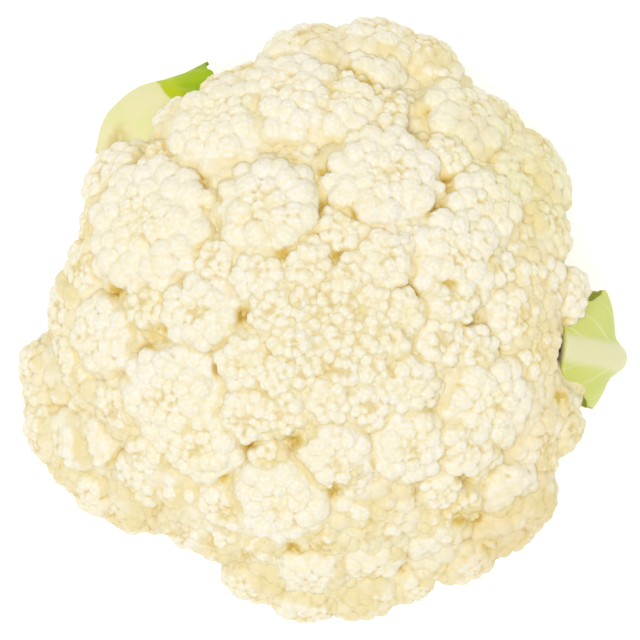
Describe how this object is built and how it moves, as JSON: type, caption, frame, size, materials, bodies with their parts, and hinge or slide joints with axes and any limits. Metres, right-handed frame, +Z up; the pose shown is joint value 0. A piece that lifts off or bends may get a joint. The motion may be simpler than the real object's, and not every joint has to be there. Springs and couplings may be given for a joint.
{
  "type": "cauliflower",
  "caption": "Trimmed head of cauliflower: a white curd of florets on a cut, branching stalk, with two small leaves and cut leaf bases.",
  "frame": {"origin": "middle of the stalk's cut face, which the head stands on", "axes": "+Z up through the middle of the curd; +X towards the small leaf that shows at the right when seen from above; +Y towards the far side"},
  "size_m": [0.1715, 0.1689, 0.1197],
  "materials": {
    "curd": "matt, finely granular, creamy white",
    "stalk": "smooth, slightly waxy, pale green-white",
    "leaf": "waxy, veined, yellow-green with a cream rib",
    "leaf_base": "smooth, waxy, pale green with a cut end"
  },
  "bodies": {
    "root": {"curd": "curd", "stalk": "stalk", "leaf_left": "leaf", "leaf_right": "leaf", "leaf_base_1": "leaf_base", "leaf_base_2": "leaf_base", "leaf_base_3": "leaf_base", "leaf_base_4": "leaf_base"}
  },
  "joints": []
}
